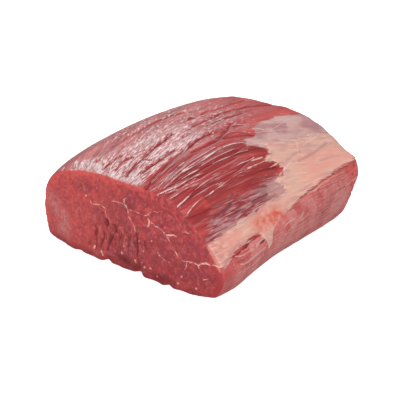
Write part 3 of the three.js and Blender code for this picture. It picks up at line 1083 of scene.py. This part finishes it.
def streak_group():
    """Streaks that run along the fibres, at a given width and length."""
    group = bpy.data.node_groups.new("Fibre streaks", "ShaderNodeTree")
    group.interface.new_socket("Grain", in_out="INPUT", socket_type="NodeSocketVector")
    for label, default in {"Width": 1.0, "Length": 12.0, "Layers": 2.0, "Shift": 0.0}.items():
        socket = group.interface.new_socket(label, in_out="INPUT", socket_type="NodeSocketFloat")
        socket.default_value = default
    group.interface.new_socket("Streaks", in_out="OUTPUT", socket_type="NodeSocketFloat")
    paint = Painter(group)
    given = paint.node("NodeGroupInput").outputs
    parts = paint.node("ShaderNodeSeparateXYZ", {"Vector": given["Grain"]}).outputs
    place = paint.node(
        "ShaderNodeCombineXYZ",
        {
            "X": paint.math("DIVIDE", parts["X"], given["Width"]),
            "Y": paint.math("DIVIDE", parts["Y"], given["Length"]),
            "Z": paint.math("ADD", paint.math("DIVIDE", parts["Z"], given["Width"]), given["Shift"]),
        },
    )
    sockets = {"Vector": place.outputs[0], "Scale": 1.0, "Detail": given["Layers"]}
    pattern = paint.node("ShaderNodeTexNoise", sockets)
    paint.feed(paint.node("NodeGroupOutput").inputs[0], pattern.outputs["Fac"])
    return group


class BeefPainter(Painter):
    """Adds the patterns that the beef's finishes share."""

    def __init__(self, tree, colours):
        super().__init__(tree)
        self.colours = colours
        self.streaks = streak_group()
        self.grain = self.node("ShaderNodeAttribute", attribute_name="grain").outputs["Vector"]
        self.place = self.node("ShaderNodeTexCoord").outputs["Object"]

    def pattern(self, name):
        """A streak, a patch, a line or a mask, by its name."""
        if name in STREAKS:
            width, length, shift, layers = STREAKS[name]
            sockets = {"Grain": self.grain, "Width": width, "Length": length}
            sockets |= {"Shift": shift, "Layers": layers}
            return self.node("ShaderNodeGroup", sockets, node_tree=self.streaks).outputs[0]
        if name in PATCHES:
            size, shift, layers, upright = PATCHES[name]
            sockets = {"Vector": self.place, "Location": (shift, shift, shift), "Scale": (1, 1, upright)}
            where = self.node("ShaderNodeMapping", sockets).outputs[0]
            sockets = {"Vector": where, "Scale": 1000 / size, "Detail": layers}
            return self.node("ShaderNodeTexNoise", sockets).outputs["Fac"]
        return self.line(*LINES[name]) if name in LINES else self.mask(name)

    def line(self, name, soft):
        """A line kept as its distance and half width: 1 on the line, 0 away from it."""
        reach = self.math("ABSOLUTE", self.mask(name + "_offset"))
        return self.ramp(self.math("SUBTRACT", self.mask(name + "_width"), reach), -soft, soft)

    def part(self, pattern, low, high, start=0.0, end=1.0, within=None):
        """Where a pattern goes from low to high, kept within a mask if one is named."""
        share = self.ramp(self.pattern(pattern), low, high, start, end)
        return self.times(self.mask(within), share) if within else share

    def times(self, a, b):
        return self.math("MULTIPLY", a, b)

    def threads(self, pattern, outer, inner):
        """Thin lines where a pattern crosses its middle value."""
        away = self.math("SUBTRACT", self.pattern(pattern), 0.5)
        return self.ramp(self.math("ABSOLUTE", away), outer, inner)

    def shade(self, name):
        return tuple(getattr(self.colours, name))

    def over(self, colour, name, share, strength=1.0):
        """Lays one of the beef's colours over another."""
        if strength != 1.0:
            share = self.times(share, strength)
        return self.mix(share, colour, self.shade(name))

    def layers(self, colour, rows):
        for name, pattern, *numbers in rows:
            if len(numbers) == 1:
                colour = self.over(colour, name, self.pattern(pattern), numbers[0])
                continue
            low, high, strength, *within = numbers
            colour = self.over(colour, name, self.part(pattern, low, high, 0.0, 1.0, *within), strength)
        return colour


def skin_colour(paint):
    """Muscle under its thin wet membrane, with painted white glare and glints where it catches the light, and
    painted shadows beside its ridges.
    """
    colour = paint.mix(paint.part("bundles", 0.32, 0.52), paint.shade("deep_red"), paint.shade("muscle_red"))
    colour = paint.layers(colour, SKIN_LAYERS)
    # Painted glints in the sheen, most of them on the upper dome
    glints = paint.times(paint.part("glints", 0.57, 0.64, within="painted_sheen"), paint.part("upper", 0, 1, 0.1, 0.8))
    colour = paint.over(colour, "membrane_and_highlight_white", glints)
    colour = paint.over(colour, "deep_red", paint.mask("strip"), 0.6)
    # Thin white lines along the fibres where the skin is ridged: painted glints
    lines = paint.times(paint.part("line_groups", 0.44, 0.54), paint.threads("fine_lines", 0.022, 0.008))
    colour = paint.over(colour, "membrane_and_highlight_white", paint.times(lines, paint.part("ridge_zone", 0, 1, 0.15, 0.5)))
    colour = wet_glare(paint, colour)

    # Each ridge gets a painted shadow on its low side, and each groove has a soft edge and a dark bottom
    offset = paint.mask("ridge_offset")
    shadow = paint.times(paint.ramp(offset, 0.3, 0.8), paint.ramp(offset, 2.4, 1.2))
    shadow = paint.times(shadow, paint.part("ridge_width", -0.2, 0.2))
    colour = paint.over(colour, "deep_red", shadow, 0.5)
    colour = paint.over(colour, "deep_red", paint.mask("furrow"), 0.6)
    reach = paint.math("ABSOLUTE", paint.mask("groove_offset"))
    groove = paint.math("SUBTRACT", paint.mask("groove_width"), reach)
    colour = paint.over(colour, "muscle_red", paint.ramp(groove, -1.3, -0.3), 0.6)
    colour = paint.over(colour, "deep_red", paint.ramp(groove, -0.3, 0.15), 0.85)
    # Painted glints along the ridges, broken up
    broken = paint.part("broken_ridges", 0.4, 0.5, 0.15, 1.0)
    return paint.over(colour, "membrane_and_highlight_white", paint.times(paint.pattern("ridge_glint_line"), broken), 0.9)


def wet_glare(paint, colour):
    """A painted white glare on the wet membrane, in threads and patches that let the red show between them.
    """
    edge = paint.times(paint.math("SUBTRACT", paint.pattern("glare_edge"), 0.5), 26.0)
    glare = paint.ramp(paint.math("ADD", paint.mask("glare"), edge), -2.0, 2.5)
    colour = paint.over(colour, "muscle_red", glare, 0.6)
    patches = paint.part("glare_patches", 0.4, 0.56, -0.035, 0.03)
    patches = paint.math("SUBTRACT", patches, paint.times(paint.mask("dapple"), 0.06))
    sparkle = paint.ramp(paint.math("ADD", paint.pattern("glare_threads"), patches), 0.435, 0.525)
    sparkle = paint.times(sparkle, paint.part("dapple", 0, 1, 0.86, 0.74))
    colour = paint.over(colour, "membrane_and_highlight_white", paint.times(glare, sparkle))
    # A painted glare along the dome's near edge
    colour = paint.over(colour, "membrane_and_highlight_white", paint.mask("painted_front_glare"), 0.4)
    cracks = paint.times(glare, paint.threads("glare_cracks", 0.022, 0.006))
    return paint.over(colour, "muscle_red", cracks, 0.8)


def cut_colour(paint):
    """Muscle cut across the grain, with its seams of fat."""
    colour = paint.mix(paint.part("clots", 0.4, 0.6), paint.shade("cut_red"), paint.shade("cut_dark"))
    colour = paint.layers(colour, CUT_LAYERS)
    # Wet film with a painted glare at the cut's left end
    colour = paint.over(colour, "film_and_sheen_pink", paint.part("pleats", 0.36, 0.6, 0.15, 0.6, "face_film_glare"))
    reach = paint.math("ADD", paint.mask("rim"), paint.part("rim_edge", 0.3, 0.7, -2.2, 2.2))
    colour = paint.over(colour, "rim_red", paint.ramp(reach, 0.2, 4.6, 0.85, 0.0))
    colour = paint.layers(colour, FOOT_LAYERS)
    broken = paint.part("broken_seams", 0.36, 0.5, 0.45, 1.0)
    return paint.over(colour, "seam_fat", paint.times(paint.pattern("seam_line"), broken))


def side_colour(paint):
    """Muscle trimmed along the grain, below the fat's lip."""
    share = paint.part("ribs", 0.42, 0.62, 0.0, 0.6)
    return paint.layers(paint.mix(share, paint.shade("side_pink"), paint.shade("cut_red")), SIDE_LAYERS)


def silverskin_colour(paint):
    """The bluish membrane at the far end, thicker and paler in wisps."""
    share = paint.part("silver_patches", 0.4, 0.6)
    colour = paint.mix(share, paint.shade("silver_mauve"), paint.shade("silver_pale"))
    return paint.layers(colour, SILVERSKIN_LAYERS)


def cloudy_colour(paint):
    """The streaky band where the silverskin runs out beside the fat."""
    share = paint.part("cloudy_streaks", 0.42, 0.58)
    return paint.layers(paint.mix(share, paint.shade("cut_dark"), paint.shade("silver_mauve")), CLOUDY_LAYERS)


def fat_colour(paint):
    """The fat sheet, from cream where it is thick to salmon and red where the muscle shows through."""
    share = paint.part("fat_patches", 0.3, 0.75)
    colour = paint.mix(share, paint.shade("fat_cream"), paint.shade("fat_salmon"))
    colour = paint.over(colour, "fat_salmon", paint.mask("warm"), 0.8)
    edge = paint.math("SUBTRACT", paint.part("fat", 0.5, 6.0, 0.6, 0.0), paint.mask("lip"), clamp=True)
    colour = paint.over(colour, "silver_mauve", paint.times(edge, paint.part("thin_fat", 0.42, 0.58)))
    colour = paint.layers(colour, FAT_LAYERS)
    colour = paint.over(colour, "fat_blush", paint.part("broken_blush", 0.34, 0.64, 0.45, 1.0, "blush"))
    colour = paint.over(colour, "fat_pale", paint.pattern("fat_wisp_line"), 0.6)
    # The fat's creases are darker, partly their own colour and partly painted shade
    return paint.over(colour, "silver_mauve", paint.mask("crease"), 0.6)


def beef_material(colours):
    """Raw beef: fibrous skin side, cut grain with marbling, trimmed side, fat and silverskin."""
    material = bpy.data.materials.new("raw_beef")
    material.use_nodes = True
    paint = BeefPainter(material.node_tree, colours)
    surface = material.node_tree.nodes["Principled BSDF"]
    fray = paint.times(paint.math("SUBTRACT", paint.pattern("frayed_edge"), 0.5), 5.0)
    frayed_fat = paint.ramp(paint.math("ADD", paint.mask("fat"), fray), -0.3, 0.8)
    cut, fat = paint.mask("cut"), paint.mix(paint.mask("side"), frayed_fat, paint.part("fat", -0.4, 0.5))

    colour = paint.mix(paint.mask("side"), skin_colour(paint), side_colour(paint))
    cloudy = paint.math("ADD", paint.mask("cloudy"), paint.times(fray, 1.6))
    colour = paint.mix(paint.ramp(cloudy, -2.5, 4.0, 0.0, 0.9), colour, cloudy_colour(paint))
    silver = paint.math("ADD", paint.mask("silver"), paint.times(fray, 0.6))
    colour = paint.mix(paint.ramp(silver, -0.8, 1.8), colour, silverskin_colour(paint))
    colour = paint.mix(fat, colour, fat_colour(paint))
    colour = paint.over(colour, "fat_pale", paint.pattern("shred_line"), 0.75)
    colour = paint.mix(cut, colour, cut_colour(paint))
    paint.feed(surface.inputs["Base Color"], colour)

    dull = paint.math("MAXIMUM", cut, fat)
    glare = paint.part("glare", -3.0, 3.0)
    roughness = paint.math("SUBTRACT", paint.ramp(dull, 0, 1, 0.42, 0.5), paint.times(glare, 0.12))
    paint.feed(surface.inputs["Roughness"], roughness)

    fibres = paint.math("ADD", paint.pattern("fine_fibres"), paint.times(paint.pattern("fibres"), 1.5))
    height = paint.times(fibres, paint.ramp(dull, 0, 1, 1.0, 0.25))
    specks = paint.times(paint.pattern("wet_specks"), paint.mask("rough"))
    grains = paint.times(paint.pattern("grains"), cut)
    for detail, share in ((specks, 2.4), (paint.pattern("ridge_glint_line"), 0.8), (grains, 1.1)):
        height = paint.math("ADD", height, paint.times(detail, share))
    bump = paint.node("ShaderNodeBump", {"Height": height, "Distance": 0.35 * MM, "Strength": 0.8})
    paint.feed(surface.inputs["Normal"], bump.outputs[0])

    wetness = paint.times(paint.ramp(glare, 0, 1, 0.04, 0.22), paint.math("SUBTRACT", 1.0, dull))
    paint.feed(surface.inputs["Coat Weight"], wetness)
    surface.inputs["Specular IOR Level"].default_value = 0.2
    surface.inputs["Coat Roughness"].default_value = 0.15
    surface.inputs["Subsurface Weight"].default_value = 0.08
    surface.inputs["Subsurface Radius"].default_value = (1.0, 0.25, 0.2)
    surface.inputs["Subsurface Scale"].default_value = 2.5 * MM
    return material


class BEEF_OT_block(bpy.types.Operator):
    """Builds the block of meat over its solid"""

    bl_idname = "beef.block"
    bl_label = "Meat block"

    def execute(self, context):
        sizes, colours = context.scene.beef_sizes, context.scene.beef_colours
        piece = copy_of_block()
        add_modifier(piece, "SUBSURF", levels=1, render_levels=1)
        add_modifier(piece, "REMESH", mode="VOXEL", voxel_size=sizes.voxel)
        add_modifier(piece, "SMOOTH", factor=0.5, iterations=3)
        shape_meat(piece, sizes)
        thin_faces(piece, MOST_TRIANGLES)
        bpy.ops.object.select_all(action="DESELECT")
        piece.select_set(True)
        bpy.ops.object.shade_smooth()
        piece.data.materials.clear()
        piece.data.materials.append(beef_material(colours))
        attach(piece, "root")
        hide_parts("tenderloin_block")
        return {"FINISHED"}


def floor_material():
    """A plain pale floor that the camera sees nearly white."""
    material = bpy.data.materials.new("white_floor")
    material.use_nodes = True
    surface = material.node_tree.nodes["Principled BSDF"]
    paint = Painter(material.node_tree)
    place = paint.node("ShaderNodeTexCoord").outputs["Object"]
    grain = paint.node("ShaderNodeTexNoise", {"Vector": place, "Scale": 40.0}).outputs["Fac"]
    paint.feed(surface.inputs["Base Color"], paint.mix(grain, (0.78, 0.78, 0.78), (0.8, 0.8, 0.8)))
    surface.inputs["Roughness"].default_value = 0.9
    surface.inputs["Emission Color"].default_value = (1, 1, 1, 1)
    seen = paint.node("ShaderNodeLightPath").outputs["Is Camera Ray"]
    paint.feed(surface.inputs["Emission Strength"], paint.math("MULTIPLY", seen, FLOOR_GLOW))
    return material


def aim(thing, at):
    direction = Vector(at) - thing.location
    thing.rotation_euler = direction.to_track_quat("-Z", "Y").to_euler()


def add_area_light(name, towards, distance, size, power):
    """A soft light, seen from the middle of the block in the given direction."""
    centre = Vector((0, 0, 0.04))
    light = bpy.data.lights.new(name, "AREA")
    light.shape = "RECTANGLE"
    light.size, light.size_y = size
    light.energy = power
    holder = bpy.data.objects.new(name, light)
    holder.location = centre + Vector(towards).normalized() * distance
    aim(holder, centre)
    bpy.context.scene.collection.objects.link(holder)


class BEEF_OT_stage(bpy.types.Operator):
    """Sets the floor, the lights and the camera"""

    bl_idname = "beef.stage"
    bl_label = "Stage"

    def execute(self, context):
        bpy.ops.object.select_all(action="DESELECT")
        bpy.ops.mesh.primitive_plane_add(size=6, location=(0, 0, -0.2 * MM))
        floor = context.object
        floor.name = "floor"
        floor.data.materials.append(floor_material())

        world = bpy.data.worlds.new("studio")
        context.scene.world = world
        world.use_nodes = True
        background = world.node_tree.nodes["Background"]
        background.inputs["Color"].default_value = (1, 1, 1, 1)
        background.inputs["Strength"].default_value = ROOM_LIGHT
        for light in LIGHTS:
            add_area_light(*light)

        level = math.cos(ELEVATION)
        view_from = Vector((math.sin(AZIMUTH) * level, -math.cos(AZIMUTH) * level, math.sin(ELEVATION)))
        camera = bpy.data.cameras.new("camera")
        camera.sensor_width, camera.lens = 36, LENS
        holder = bpy.data.objects.new("camera", camera)
        holder.location = Vector(CAMERA_TARGET) + view_from * CAMERA_DISTANCE
        aim(holder, CAMERA_AIM)
        context.scene.collection.objects.link(holder)
        context.scene.camera = holder
        context.scene.view_settings.view_transform = "Standard"
        return {"FINISHED"}


class BEEF_PT_panel(bpy.types.Panel):
    """Lists the block's settings and the operators that build it"""

    bl_idname = "BEEF_PT_panel"
    bl_label = "Raw beef block"
    bl_space_type = "VIEW_3D"
    bl_region_type = "UI"
    bl_category = "Beef"

    def draw(self, context):
        for settings in (context.scene.beef_sizes, context.scene.beef_colours):
            for name in settings.__annotations__:
                self.layout.prop(settings, name)
        for operator in OPERATORS:
            self.layout.operator(operator.bl_idname)


OPERATORS = (BEEF_OT_block, BEEF_OT_stage)
CLASSES = (BeefSizes, BeefColours, *OPERATORS, BEEF_PT_panel)


def register():
    for item in CLASSES:
        bpy.utils.register_class(item)
    bpy.types.Scene.beef_sizes = PointerProperty(type=BeefSizes)
    bpy.types.Scene.beef_colours = PointerProperty(type=BeefColours)


def unregister():
    del bpy.types.Scene.beef_colours
    del bpy.types.Scene.beef_sizes
    for item in reversed(CLASSES):
        bpy.utils.unregister_class(item)


def main():
    register()
    bpy.ops.beef.block()
    bpy.ops.beef.stage()


if __name__ == "__main__":
    main()
